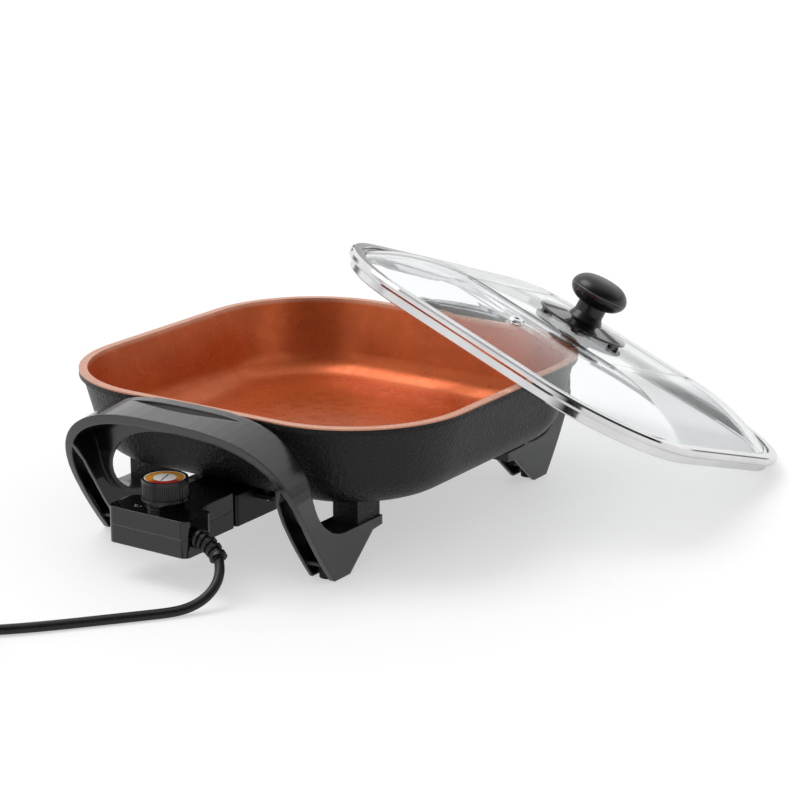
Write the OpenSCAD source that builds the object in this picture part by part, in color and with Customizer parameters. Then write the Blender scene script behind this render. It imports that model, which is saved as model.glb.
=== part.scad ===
// Electric skillet with a rounded-square pan, a lift-off glass lid and a plug-in
// heat control. Millimetres. X runs along the two handles, with the heat control
// at -X; Y runs across them and Z is up. Heights in the sizes below are measured
// from the floor; the finished part has its origin on the cooking surface.

/* [Pan] */
// Width of the square rim, side to side
rim_size = 305; // [260:1:340]
// Corner radius of the rim in plan
rim_corner = 90; // [70:1:100]
// Height of the rim above the floor
rim_height = 108; // [98:1:120]
// Height of the pan's underside above the floor
under_height = 47; // [42:1:56]
// Thickness of the cast wall
pan_wall = 3.2; // [2.5:0.1:5]
// Depth of the flange under the rim
flange_depth = 3.6; // [2.5:0.1:6]
// Distance that the flange stands out from the wall
flange_out = 2.5; // [2:0.1:6]
// Lean of the wall from upright, in degrees
wall_lean = 14.8; // [8:0.1:18]
// Outside radius between the wall and the base
base_radius = 27.5; // [20:0.5:32]
// Thickness of the ceramic lining
lining = 1; // [0.6:0.1:1.5]

/* [Handles] */
// Reach of the grips from the centre of the pan
grip_reach = 191.5; // [170:0.5:210]
// Reach of the feet from the centre of the pan
foot_reach = 136; // [125:1:145]
// Length of a foot along the handles
foot_length = 16; // [14:1:28]
// Half the width across a handle's two legs
leg_half = 99; // [85:0.5:110]
// Width of the channel in a leg, skin included
leg_channel = 20.5; // [16:0.5:26]
// Thickness of the moulded walls
handle_wall = 2.8; // [2:0.1:4]
// Depth of the lip along the front edge
lip_depth = 7; // [4:0.5:10]
// Rise of the grip's top above the rim
grip_rise = 3.5; // [0:0.5:12]
// Slope of the grip's top, in degrees
grip_slope = 7; // [4:1:18]
// Length of the slot behind the grip
slot_length = 92; // [50:1:110]
// Greatest width of that slot
slot_width = 9; // [5:0.5:12]
// Diameter of the handle screws
screw_d = 4; // [3:0.5:5]

/* [Heating element] */
// Diameter of the tube
element_d = 7.2; // [6:0.1:9]
// Height of its centre above the floor
element_height = 38; // [34:0.5:40]
// Half the width across the loop
loop_half = 70; // [55:1:85]
// Radius of the loop's corners
loop_corner = 30; // [15:1:35]
// Distance from the middle to each terminal pin
pin_offset = 13; // [11:0.5:14]
// Diameter of a terminal pin
pin_d = 4.8; // [4:0.1:6]
// Length of a terminal pin
pin_length = 26; // [16:1:30]

/* [Control socket] */
// Reach of the shroud's mouth from the centre of the pan
shroud_reach = 141; // [130:1:150]
// Length of the shroud
shroud_length = 46; // [40:1:52]
// Outside width of the shroud
shroud_width = 44; // [40:1:52]
// Height of the shroud's underside above the floor
shroud_bottom = 25; // [20:0.5:28]
// Wall of the shroud
shroud_wall = 2.2; // [1.5:0.1:3]

/* [Heat control] */
// Reach of the housing's front from the centre of the pan
housing_reach = 209; // [195:1:225]
// Length of the wide front block
block_length = 28; // [20:1:32]
// Width of the wide front block
block_width = 66; // [56:1:80]
// Width of the neck behind it
neck_width = 42; // [36:1:46]
// Height of the housing's underside above the floor
housing_bottom = 24.5; // [22:0.5:30]
// Height of the housing
housing_height = 25; // [20:0.5:30]
// Wall of the housing
housing_wall = 2; // [1.5:0.1:3]
// Length of the nose inside the shroud
nose_length = 37; // [30:1:40]
// Diameter of the temperature probe
rod_d = 6; // [5:0.1:8]
// Length of the probe beyond the nose
rod_length = 42; // [30:1:50]
// Diameter of the dial
dial_d = 31; // [26:0.5:38]
// Height of the dial's grip
dial_height = 12.5; // [10:0.5:18]
// Distance from the housing's front to the dial's axis
dial_back = 20.5; // [19:0.5:26]
// Number of grooves round the dial
dial_grooves = 40; // [24:1:48]

/* [Cord] */
// Diameter of the cord
cord_d = 6.6; // [5:0.1:8]
// Diameter of the coil at the middle of its turns
coil_d = 76; // [66:1:79]
// Turns in each of the coil's two layers
layer_turns = 1.25; // [0.75:0.25:2]
// Space between one turn and the next
turn_gap = 0.7; // [0.5:0.1:2]

/* [Lid] */
// Width of the lid's band, side to side
lid_size = 309; // [266:1:346]
// Corner radius of the band in plan
lid_corner = 91; // [72:1:102]
// Depth of the clamp round the glass
clamp_depth = 6.6; // [6:0.1:8]
// Depth of the skirt under the clamp
skirt_depth = 6.4; // [4:0.1:10]
// Distance that the skirt is set in from the clamp
skirt_inset = 4.4; // [3:0.1:5]
// Thickness of the sheet that the band is pressed from
band_sheet = 0.8; // [0.6:0.1:1]
// Thickness of the glass
glass_t = 4; // [3:0.1:5]
// Rise of the dome above the band
dome_rise = 20; // [15:1:35]
// Diameter of the knob's head
knob_d = 44; // [34:1:50]
// Height of the knob above its base disc
knob_height = 32; // [26:1:40]
// Diameter of the base disc under the knob
knob_base_d = 70; // [50:1:80]
// Where the leaning lid's centre stands: along X
lid_x = 157.7; // [145:0.1:180]
// Where the leaning lid's centre stands: along Y
lid_y = -103.8; // [-120:0.1:-90]
// Where the leaning lid's centre stands: above the floor
lid_z = 92.4; // [85:0.1:105]
// Tilt of the leaning lid, in degrees
lid_tilt = 27.2; // [20:0.1:30]
// Direction that the tilt faces, in degrees from +X
lid_facing = -50; // [-60:0.1:-30]
// Turn of the lid about its own axis, in degrees
lid_turn = 48.1; // [40:0.1:60]

/* [Hidden] */
$fn = 64;
eps = 0.01;
gap = 0.3;
run_fit = 0.08;
half_rim = rim_size / 2;
side_run = half_rim - rim_corner;
flange_top = rim_height - lining;
wall_top = flange_top - flange_depth;
fillet_z = under_height + base_radius;
wall_out = rim_corner - flange_out;
fillet_x = wall_out - (wall_top - fillet_z) * tan(wall_lean) - base_radius / cos(wall_lean);
floor_top = under_height + pan_wall + gap;
cook_z = floor_top + lining;
// half the width of the flat underside
flat_half = side_run + fillet_x;

// Grip and legs
grip_top = rim_height + grip_rise;
back_x = half_rim + 5;
front_top = grip_top - (grip_reach - back_x) * tan(grip_slope);
leg_lean = grip_reach - foot_reach;
inner_wall_y = leg_half - leg_channel;
ledge_top = under_height - 15.5;
ledge_t = 6.5;
boss_x = foot_reach - 41;
boss_y = leg_half - 11.5;
boss_l = 26;
boss_w = 20;
pad_d = 12;
pad_z = 11;
pad_x = foot_reach - foot_length / 2 + 1;
pad_y = (leg_half + inner_wall_y) / 2 - 0.5;
pad_stem = 5;
// outline of the arch seen along the handle: a rounded arch of this power
arch_power = 3;
arch_spring = 30;
// how far the slot stands in from the grip's pan side
slot_back = handle_wall + 3.5;

// Element and socket
ridge_w = 14;
ridge_bottom = element_height - 2;
lead_bend = 15;
shroud_back = shroud_reach - shroud_length;
shroud_top = under_height - gap;
insulator_d = element_d + 3.4;
insulator_l = 3.4;
lead_end = shroud_back + 5;
lug_w = 12;
lug_l = 14;
lug_t = 3;
lug_drop = 4;
lug_x = shroud_back + 18;
lug_screw_d = 3.5;
well_length = rod_length + 6;
pin_tip = lead_end + pin_length;

// Heat control
housing_top_z = housing_bottom + housing_height;
seam = housing_bottom + 12.5;
neck_end = shroud_reach + 1;
nose_end = neck_end - nose_length;
nose_fit = 0.6;
nose_width = shroud_width - 2 * shroud_wall - 2 * nose_fit;
nose_bottom = shroud_bottom + shroud_wall + nose_fit;
nose_top = shroud_top - shroud_wall - nose_fit;
dial_x = housing_reach - dial_back;
collar_h = 5;
dial_base = housing_top_z + collar_h + 0.4;
dial_flange = 2;
dial_top = dial_base + dial_flange + dial_height;
shaft_d = 6;
shaft_bottom = housing_bottom + 14;
frame_z = nose_bottom + housing_wall + gap;
blade_z = frame_z + 5;
// the works run from behind the dial; the probe ends clear of the blade's tip
works_back = dial_x + 8;
blade_l = 34;
blade_clear = 5.5;
rod_back = works_back - blade_l - blade_clear;
frame_front = neck_end - 5.5;
sleeve_d = pin_d + 2.6;
sleeve_l = pin_tip - nose_end + 4;
lamp_x = housing_reach - 10;
lamp_y = 15;
post_d = 5.5;
case_screw_d = 2.6;
case_screw_l = housing_height - 9;

// Cord
relief_shank_d = 9.2;
relief_x = housing_reach - 10.5;
relief_y = block_width / 2;
relief_z = seam;
cord_r = cord_d / 2;
tie_t = 0.8;
coil_z = cord_r + tie_t + 0.3;
cord_sides = 10;
// the route from the strain relief to the coil, chosen by hand
drawn_route = [
  [-201.7, -53.7, 27.8], [-205.7, -58.4, 22.8], [-211.1, -61.1, 17.6], [-217.5, -61.7, 12.8],
  [-224.2, -60.3, 8.7], [-231.1, -57.6, 5.8], [-238, -53.9, 4.1], [-244.5, -49.5, 3.5],
  [-251, -44.5, 3.5], [-263.5, -34.5, 3.5], [-275.5, -24.5, 3.5], [-288, -14.5, 3.5],
  [-300.5, -4, 3.5], [-327, 18, 3.7], [-341, 34.5, 4.1]
];
// carries the start of the route along with the housing when its sizes change
relief_shift = [198.5 - relief_x, 33 - relief_y, relief_z - 37];
route = [for (i = [0:len(drawn_route) - 1])
  drawn_route[i] + max(0, 1 - i / 6) * relief_shift];
// the strain relief's rings: centre, then droop and turn in degrees
drawn_rings = [
  [-198.5, -34.9, 36.9, 11, 0], [-198.6, -38.7, 35.9, 18, 2.5], [-198.9, -43.1, 34.3, 24, 6.5],
  [-199.5, -47.3, 32.2, 30, 13], [-200.6, -51.3, 29.7, 35, 23]
];
drawn_mouth = [-201.55, -53.4, 28.1, 37, 31];
relief_step = 4.6;

coil_x = -397;
coil_y = 38;
coil_pitch = cord_d + turn_gap;
coil_r = coil_d / 2;
coil_in = coil_r - coil_pitch * layer_turns / 2;
coil_out = coil_r + coil_pitch * layer_turns / 2;

// Lid
half_lid = lid_size / 2;
lid_run = half_lid - lid_corner;
clamp_lip = 8;
glass_edge = lid_corner - band_sheet - 1.8;
glass_top = -band_sheet - gap;
rim_flat = 9;
dome_span = glass_edge - rim_flat;
dome_r = (dome_span * dome_span + dome_rise * dome_rise) / (2 * dome_rise);
crown = glass_top + dome_rise;
grommet_x = -97;
grommet_d = 8;
knob_hole = 8;
base_rise = 3;
base_t = 3.4;
lid_screw_d = 5;

// ---------- shared shapes ----------

// moves a piece from floor heights to the part's own frame
module stand() {
  translate([0, 0, -cook_z])
    children();
}

// sweeps a section (distance out from the corner's axis, height) round a
// rounded square, and fills its middle between the given heights
module round_square(run, z0, z1) {
  for (k = [0:3])
    rotate([0, 0, 90 * k]) {
      translate([run, run, 0])
        rotate_extrude(angle = 90, $fn = 128)
          children();
      translate([run, run, 0])
        rotate([90, 0, 0])
          linear_extrude(height = 2 * run)
            children();
    }
  if (z1 > z0)
    translate([-run, -run, z0])
      cube([2 * run, 2 * run, z1 - z0]);
}

// half section of the bowl inside a skin of thickness t
module bowl_section(t, top, bottom) {
  r = base_radius - t;
  lean = wall_lean;
  tuck = r - 0.005;
  foot = [fillet_x + tuck * cos(lean), fillet_z - tuck * sin(lean)];
  head = [foot[0] + (top - foot[1]) * tan(lean), top];
  low = bottom > fillet_z - r + eps ? bottom : fillet_z - r - 1;
  translate([0, bottom])
    square([fillet_x, fillet_z - bottom]);
  intersection() {
    translate([fillet_x, fillet_z])
      circle(r = r, $fn = 96);
    translate([fillet_x, low])
      square([r + 2, fillet_z - low]);
  }
  polygon([[0, foot[1]], foot, head, [0, top]]);
}

module rounded_plan(l, w, r) {
  translate([-l / 2 + r, -w / 2])
    square([l - 2 * r, w]);
  translate([-l / 2, -w / 2 + r])
    square([l, w - 2 * r]);
  for (x = [-1, 1], y = [-1, 1])
    translate([x * (l / 2 - r), y * (w / 2 - r)])
      circle(r = r, $fn = 32);
}

module along_x(x, y, z, d, l) {
  translate([x, y, z])
    rotate([0, 90, 0])
      cylinder(d = d, h = l);
}

// a pan-head screw pointing up from the underside of its head
module screw_up(d, l, head_d, head_h) {
  cylinder(d = d, h = l);
  difference() {
    translate([0, 0, -head_h])
      cylinder(d = head_d, h = head_h);
    for (a = [0, 90])
      rotate([0, 0, a])
        translate([-head_d * 0.32, -0.4, -head_h - eps])
          cube([head_d * 0.64, 0.8, head_h * 0.5]);
  }
}

// ---------- pan ----------

module element_path() {
  for (s = [0, 1])
    mirror([0, s, 0]) {
      translate([-lead_end, pin_offset, element_height])
        rotate([90, 0, 90])
          linear_extrude(height = lead_end - (loop_half + lead_bend))
            children();
      translate([-(loop_half + lead_bend), pin_offset + lead_bend, element_height])
        rotate([0, 0, -90])
          rotate_extrude(angle = 90)
            translate([lead_bend, 0])
              children();
      translate([-loop_half, loop_half - loop_corner, element_height])
        rotate([90, 0, 0])
          linear_extrude(height = loop_half - loop_corner - pin_offset - lead_bend)
            children();
      translate([-(loop_half - loop_corner), loop_half - loop_corner, element_height])
        rotate([0, 0, 90])
          rotate_extrude(angle = 90)
            translate([loop_corner, 0])
              children();
      translate([-(loop_half - loop_corner), loop_half, element_height])
        rotate([90, 0, 90])
          linear_extrude(height = 2 * (loop_half - loop_corner))
            children();
      translate([loop_half - loop_corner, loop_half - loop_corner, element_height])
        rotate_extrude(angle = 90)
          translate([loop_corner, 0])
            children();
      translate([loop_half, loop_half - loop_corner, element_height])
        rotate([90, 0, 0])
          linear_extrude(height = loop_half - loop_corner)
            children();
    }
}

module lug_spots() {
  for (s = [-1, 1])
    translate([-lug_x, s * (shroud_width / 2 + lug_w / 2), 0])
      children();
}

module boss_spots() {
  for (x = [-1, 1], y = [-1, 1])
    translate([x * boss_x, y * boss_y, 0])
      children();
}

module pan_body() {
  color([0.05, 0.05, 0.055])
    stand()
      difference() {
        union() {
          round_square(side_run, under_height, floor_top)
            difference() {
              union() {
                bowl_section(0, wall_top + eps, under_height);
                translate([0, wall_top])
                  square([rim_corner, flange_depth]);
              }
              bowl_section(pan_wall, flange_top + eps, floor_top);
            }
          element_path()
            translate([-ridge_w / 2, -2])
              square([ridge_w, under_height - ridge_bottom + 0.5]);
          translate([-shroud_back + 1, -8, element_height - 6])
            cube([well_length, 16, under_height - element_height + 6.5]);
          boss_spots()
            translate([-boss_l / 2, -boss_w / 2, ledge_top])
              cube([boss_l, boss_w, under_height - ledge_top + 2.5]);
          lug_spots()
            translate([0, 0, under_height - lug_drop])
              cylinder(d = 9, h = lug_drop + 0.5);
        }
        element_path()
          translate([-element_d / 2 - gap, -6])
            square([element_d + 2 * gap, 6 + element_d / 2 + gap]);
        translate([-lead_end - 1, -ridge_w * 2, ridge_bottom - 1])
          cube([lead_end + 1 - shroud_back + 1, ridge_w * 4, under_height - ridge_bottom + 1]);
        along_x(-shroud_back - 2, 0, element_height, rod_d + 2 * run_fit, well_length - 1);
        boss_spots()
          translate([0, 0, ledge_top - 1])
            cylinder(d = screw_d - 0.6, h = 13);
        lug_spots()
          translate([0, 0, under_height - lug_drop - 1])
            cylinder(d = lug_screw_d - 0.6, h = 7);
      }
}

module nonstick_lining() {
  color([0.72, 0.36, 0.2])
    stand()
      round_square(side_run, floor_top, cook_z)
        difference() {
          union() {
            bowl_section(pan_wall + gap, flange_top + eps, floor_top);
            translate([0, flange_top])
              square([rim_corner, lining]);
          }
          bowl_section(pan_wall + gap + lining, rim_height + 1, cook_z);
        }
}

module heating_element() {
  color([0.45, 0.45, 0.46])
    stand()
      element_path()
        circle(d = element_d, $fn = 32);
}

module terminal_pins() {
  color([0.75, 0.75, 0.76])
    stand()
      for (s = [-1, 1]) {
        along_x(-pin_tip + 1, s * pin_offset, element_height, pin_d, pin_length - 1);
        translate([-pin_tip + 1, s * pin_offset, element_height])
          rotate([0, -90, 0])
            cylinder(d1 = pin_d, d2 = pin_d - 1.6, h = 1);
      }
}

module pin_insulators() {
  color([0.9, 0.88, 0.82])
    stand()
      for (s = [-1, 1])
        difference() {
          union() {
            along_x(-shroud_back - 3, s * pin_offset, element_height, insulator_d, insulator_l);
            along_x(-shroud_back - 4.3, s * pin_offset, element_height, insulator_d + 1.8, 2);
          }
          along_x(-shroud_back - 9, s * pin_offset, element_height, element_d + 2 * gap, 20);
        }
}

module socket_shroud() {
  l = shroud_length;
  w = shroud_width;
  h = shroud_top - shroud_bottom;
  t = shroud_wall;
  color([0.04, 0.04, 0.045])
    stand()
      difference() {
        union() {
          translate([-shroud_back - l / 2, 0, shroud_bottom])
            linear_extrude(height = h)
              rounded_plan(l, w, 2);
          lug_spots()
            translate([-lug_l / 2, -lug_w / 2 - 4, under_height - lug_drop - lug_t])
              linear_extrude(height = lug_t)
                translate([lug_l / 2, lug_w / 2 + 4])
                  rounded_plan(lug_l, lug_w + 8, 2);
        }
        translate([-shroud_reach - 1, -w / 2 + t, shroud_bottom + t])
          cube([l + 1 - t, w - 2 * t, h - 2 * t]);
        for (s = [-1, 1])
          along_x(-shroud_back - 5, s * pin_offset, element_height, insulator_d + 2 * gap, 10);
        along_x(-shroud_back - 5, 0, element_height, rod_d + 2, 10);
        lug_spots()
          translate([0, 0, under_height - lug_drop - lug_t - 1])
            cylinder(d = lug_screw_d + 0.4, h = lug_t + 2);
      }
}

module shroud_screws() {
  color([0.7, 0.7, 0.7])
    stand()
      lug_spots()
        translate([0, 0, under_height - lug_drop - lug_t])
          screw_up(lug_screw_d - 0.6, lug_t + 5, 6.5, 2);
}

// ---------- handles ----------

// reach of the front edge at a height above the floor
function front_x(z) =
  let (u = min(1, max(0, z / front_top)))
  foot_reach + leg_lean * (1.5 * u - 0.5 * u * u);

function arc_pts(cx, cz, r, a0, a1, n) =
  [for (i = [0:n]) let (a = a0 + (a1 - a0) * i / n) [cx + r * cos(a), cz + r * sin(a)]];

front_heights = [for (u = [0:0.1:1]) u * front_top];
bend_r = 35;
bend_x = foot_reach - 13;
bend_z = ledge_top + bend_r;
ledge_end = boss_x - boss_l / 2 - 1;

// the whole leg and grip seen from the side, as [reach, height]
module handle_side() {
  polygon(concat(
    [for (z = front_heights) [front_x(z), z]],
    [[grip_reach, grip_top + 20], [back_x, grip_top + 20], [back_x, bend_z + 21]],
    arc_pts(bend_x, bend_z, bend_r, 0, -90, 10),
    [[ledge_end, ledge_top], [ledge_end, ledge_top - ledge_t],
      [boss_x - 3, ledge_top - ledge_t - 1], [foot_reach - foot_length, 0]]
  ));
}

// the strip along the pan side, of the walls' thickness
module back_strip() {
  t = handle_wall;
  polygon(concat(
    [[back_x, grip_top + 20], [back_x, bend_z + 21]],
    arc_pts(bend_x, bend_z, bend_r, 0, -90, 10),
    [[ledge_end, ledge_top], [ledge_end, ledge_top - t]],
    arc_pts(bend_x, bend_z, bend_r + t, -90, 0, 10),
    [[back_x + t, bend_z + 21], [back_x + t, grip_top + 20]]
  ));
}

// the strip along the front edge that the lip fills
module front_strip() {
  t = handle_wall;
  polygon(concat(
    [for (z = front_heights) [front_x(z), z]],
    [[grip_reach, grip_top + 20], [grip_reach - t, grip_top + 20]],
    [for (i = [len(front_heights) - 1:-1:0])
      [front_x(front_heights[i]) - t, front_heights[i]]]
  ));
}

// rounded arch seen along the handle, smaller than the outside by the two insets
module arch(side_in, top_in) {
  a = leg_half - side_in;
  b = front_top - arch_spring;
  h = b - top_in;
  p = 2 / arch_power;
  polygon(concat(
    [[a, -b - 90]],
    [for (i = [0:36]) let (t = 5 * i, c = cos(t))
      [a * (c < 0 ? -1 : 1) * pow(abs(c), p), -b + h * pow(sin(t), p)]],
    [[-a, -b - 90]]
  ));
}

// draws an outline square to the grip's slope and runs it towards the pan
module along_grip() {
  translate([-grip_reach, 0, front_top])
    rotate([0, -grip_slope, 0])
      rotate([90, 0, 90])
        translate([0, 0, -30])
          linear_extrude(height = 180)
            children();
}

// runs a side outline across the whole handle
module across_handle() {
  translate([0, leg_half + 5, 0])
    rotate([90, 0, 0])
      linear_extrude(height = 2 * leg_half + 10)
        mirror([1, 0, 0])
          children();
}

module inner_wall_outline() {
  y = inner_wall_y;
  t = handle_wall - 0.3;
  b = front_top - arch_spring;
  for (s = [0, 1])
    mirror([s, 0, 0])
      polygon([[y, -b - 90], [y, -b + 14], [y + 1.5, -46], [y + 4.5, -37], [y + 9, -30],
        [y + 10, -32.5], [y + 5 + t, -39.5], [y + 1.5 + t, -46.5], [y + t, -b + 13.6],
        [y + t, -b - 90]]);
}

module handle() {
  ledge_y = inner_wall_y + 1;
  ledge_w = leg_half - 1 - ledge_y;
  difference() {
    intersection() {
      union() {
        along_grip()
          difference() {
            arch(0, 0);
            arch(handle_wall, handle_wall);
          }
        intersection() {
          along_grip()
            difference() {
              arch(0, 0);
              arch(lip_depth - 2.4, lip_depth);
            }
          across_handle()
            front_strip();
        }
        intersection() {
          along_grip()
            difference() {
              arch(0.5, 0.5);
              arch(leg_half - 73.5, 22);
            }
          across_handle()
            back_strip();
        }
        along_grip()
          intersection() {
            inner_wall_outline();
            arch(0.5, 0.5);
          }
        for (s = [0, 1])
          mirror([0, s, 0]) {
            translate([-boss_x - 20, ledge_y, ledge_top - ledge_t])
              cube([20 + boss_l / 2 + 1, ledge_w, ledge_t]);
            translate([-foot_reach - 6, ledge_y, pad_z])
              cube([foot_length + 12, ledge_w, 2.4]);
          }
      }
      across_handle()
        handle_side();
      translate([-grip_reach - 20, -leg_half - 10, 0.8])
        cube([grip_reach, 2 * leg_half + 20, grip_top + 40]);
    }
    intersection() {
      slot_r = (slot_length * slot_length / 4 + slot_width * slot_width) / (2 * slot_width);
      translate([-back_x - slot_back - slot_width + slot_r, 0, 80])
        cylinder(r = slot_r, h = 60, $fn = 128);
      translate([-grip_reach, -slot_length, 80])
        cube([grip_reach - back_x - slot_back, 2 * slot_length, 60]);
    }
    for (s = [-1, 1]) {
      translate([-boss_x, s * boss_y, ledge_top - ledge_t - 1])
        cylinder(d = screw_d + 0.4, h = ledge_t + 2);
      translate([-pad_x, s * pad_y, pad_z - 1])
        cylinder(d = pad_stem, h = 5);
    }
  }
}

module near_handle() {
  color([0.04, 0.04, 0.045])
    stand()
      handle();
}

module far_handle() {
  color([0.04, 0.04, 0.045])
    stand()
      rotate([0, 0, 180])
        handle();
}

module handle_screws() {
  color([0.7, 0.7, 0.7])
    stand()
      boss_spots()
        translate([0, 0, ledge_top - ledge_t])
          screw_up(screw_d - 0.6, ledge_t + 10, 8, 2.6);
}

module foot_pads() {
  color([0.08, 0.08, 0.08])
    stand()
      for (x = [-1, 1], y = [-1, 1])
        translate([x * pad_x, y * pad_y, 0]) {
          cylinder(d = pad_d, h = pad_z);
          cylinder(d = pad_stem, h = pad_z + 3.4);
        }
}

// ---------- heat control ----------

// plan of the housing, drawn smaller by an inset
module housing_plan(inset) {
  r = max(0.8, 5 - inset);
  translate([-housing_reach + block_length / 2, 0])
    rounded_plan(block_length - 2 * inset, block_width - 2 * inset, r);
  translate([-(housing_reach - 10 + neck_end) / 2, 0])
    rounded_plan(housing_reach - 10 - neck_end - 2 * inset, neck_width - 2 * inset, max(0.6, 2 - inset));
}

module post_spots() {
  for (s = [-1, 1]) {
    translate([-housing_reach + block_length - 7, s * (block_width / 2 - 7), 0])
      children();
    translate([-neck_end - 8, s * (neck_width / 2 - 6), 0])
      children();
  }
}

module nose(z0, z1) {
  translate([-neck_end - 6, -nose_width / 2, z0])
    cube([neck_end + 6 - nose_end, nose_width, z1 - z0]);
}

module nose_hollow(z0, z1) {
  t = housing_wall;
  translate([-neck_end - 8, -nose_width / 2 + t, z0])
    cube([neck_end + 8 - nose_end - t, nose_width - 2 * t, z1 - z0]);
}

module case_holes() {
  for (s = [-1, 1])
    along_x(-nose_end - 20, s * pin_offset, element_height, sleeve_d + 0.2, 30);
  along_x(-nose_end - 20, 0, element_height, rod_d + 0.1, 30);
  translate([-relief_x, -relief_y - 5, relief_z])
    rotate([-90, 0, 0])
      cylinder(d = relief_shank_d + 0.2, h = housing_wall + 10);
}

module control_housing_bottom() {
  t = housing_wall;
  color([0.035, 0.035, 0.04])
    stand()
      difference() {
        union() {
          difference() {
            union() {
              translate([0, 0, housing_bottom])
                linear_extrude(height = seam - housing_bottom)
                  housing_plan(0);
              nose(nose_bottom, seam);
            }
            translate([0, 0, housing_bottom + t])
              linear_extrude(height = housing_height)
                housing_plan(t);
            nose_hollow(nose_bottom + t, seam + 1);
          }
          post_spots()
            translate([0, 0, housing_bottom + 0.5])
              cylinder(d = post_d, h = seam - housing_bottom - 0.5);
          translate([-dial_x - 8, -7, housing_bottom + t - 0.5])
            cube([36, 14, frame_z - housing_bottom - t + 0.5]);
        }
        case_holes();
        post_spots()
          translate([0, 0, housing_bottom - 1])
            cylinder(d = case_screw_d + 0.4, h = housing_height);
        post_spots()
          translate([0, 0, housing_bottom - 1])
            cylinder(d = 4.6, h = 2.6);
      }
}

module control_housing_top() {
  t = housing_wall;
  color([0.035, 0.035, 0.04])
    stand()
      difference() {
        union() {
          difference() {
            union() {
              translate([0, 0, seam])
                linear_extrude(height = housing_top_z - seam)
                  housing_plan(0);
              nose(seam, nose_top);
            }
            translate([0, 0, seam - 1])
              linear_extrude(height = housing_top_z - seam + 1 - t)
                housing_plan(t);
            nose_hollow(seam - 1, nose_top - t);
          }
          post_spots()
            translate([0, 0, seam])
              cylinder(d = post_d, h = housing_top_z - seam - 0.5);
          translate([-dial_x, 0, housing_top_z - 6])
            cylinder(d = dial_d - 6, h = 6 + collar_h);
        }
        case_holes();
        post_spots()
          translate([0, 0, seam - 1])
            cylinder(d = case_screw_d - 0.4, h = housing_top_z - seam - 1.5);
        translate([-dial_x, 0, seam])
          cylinder(d = shaft_d + 2 * run_fit, h = 30);
        translate([-lamp_x, lamp_y, housing_top_z - 5])
          cylinder(d = 5, h = 10);
      }
}

module housing_screws() {
  color([0.6, 0.6, 0.6])
    stand()
      post_spots()
        translate([0, 0, housing_bottom + 1.6])
          screw_up(case_screw_d - 0.6, case_screw_l, 4.2, 1.4);
}

module probe_rod() {
  back = rod_back;
  color([0.78, 0.78, 0.78])
    stand()
      difference() {
        union() {
          along_x(-back, 0, element_height, rod_d, back - nose_end + rod_length - 2);
          translate([-nose_end + rod_length - 2, 0, element_height])
            rotate([0, 90, 0])
              cylinder(d1 = rod_d, d2 = rod_d - 2.4, h = 2);
        }
        translate([-back - 1, -4, element_height + 1.5])
          cube([16, 8, 3]);
      }
}

module terminal_sleeves() {
  color([0.78, 0.62, 0.3])
    stand()
      for (s = [-1, 1])
        difference() {
          along_x(-nose_end - sleeve_l, s * pin_offset, element_height, sleeve_d, sleeve_l - 0.4);
          along_x(-pin_tip - 0.8, s * pin_offset, element_height, pin_d + 2 * run_fit, 40);
        }
}

module thermostat_frame() {
  color([0.7, 0.7, 0.7])
    stand() {
      translate([-works_back, -6, frame_z])
        cube([works_back - frame_front, 12, 1.5]);
      translate([-works_back, -6, frame_z])
        cube([1.5, 12, blade_z - frame_z]);
    }
}

module bimetal_blade() {
  color([0.72, 0.6, 0.4])
    stand()
      difference() {
        translate([-works_back, -4, blade_z])
          cube([blade_l, 8, 0.8]);
        translate([-dial_x + 14, 0, blade_z - 1])
          cylinder(d = 2.4, h = 3);
      }
}

module contact_rivets() {
  color([0.85, 0.85, 0.82])
    stand() {
      translate([-dial_x + 14, 0, blade_z - 1]) {
        cylinder(d = 2.4, h = 2.2);
        cylinder(d = 4, h = 1);
        translate([0, 0, 1.8])
          cylinder(d = 4, h = 0.8);
      }
      translate([-dial_x + 14, 0, frame_z + 1.5])
        cylinder(d = 4, h = 1.6);
    }
}

module indicator_lamp() {
  color([0.95, 0.6, 0.35])
    stand()
      translate([-lamp_x, lamp_y, housing_bottom + housing_wall])
        cylinder(d = 4.4, h = housing_height - housing_wall - 5.5);
}

module lamp_lens() {
  color([0.9, 0.85, 0.8, 0.7])
    stand()
      translate([-lamp_x, lamp_y, housing_top_z - 5])
        cylinder(d = 4.9, h = 5.3);
}

// places a piece square to the strain relief's own bend
module at_ring(q) {
  translate([q[0], q[1], q[2]] + relief_shift)
    rotate([90 + q[3], 0, -q[4]])
      children();
}

module strain_relief() {
  n = len(drawn_rings);
  color([0.05, 0.05, 0.05])
    stand()
      difference() {
        union() {
          translate([-relief_x, -relief_y + housing_wall + 3, relief_z])
            rotate([90, 0, 0])
              cylinder(d = 11, h = 2.7);
          translate([-relief_x, -relief_y + housing_wall + 1, relief_z])
            rotate([90, 0, 0])
              cylinder(d = relief_shank_d, h = housing_wall + 3);
          for (k = [0:n - 1])
            at_ring(drawn_rings[k]) {
              translate([0, 0, -0.6])
                cylinder(d1 = 9.9 - k * 0.25, d2 = 9.5 - k * 0.25, h = relief_step + 0.4);
              translate([0, 0, 0.4])
                cylinder(d1 = 13.4 - k * 0.5, d2 = 13 - k * 0.5, h = 1.9);
            }
          at_ring(drawn_mouth)
            translate([0, 0, -2.6])
              cylinder(d1 = 11, d2 = 12, h = 3.2);
        }
        at_ring(drawn_mouth)
          translate([0, 0, -0.2])
            cylinder(d = cord_d + 0.4, h = 5);
      }
}

// ---------- dial ----------

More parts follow.
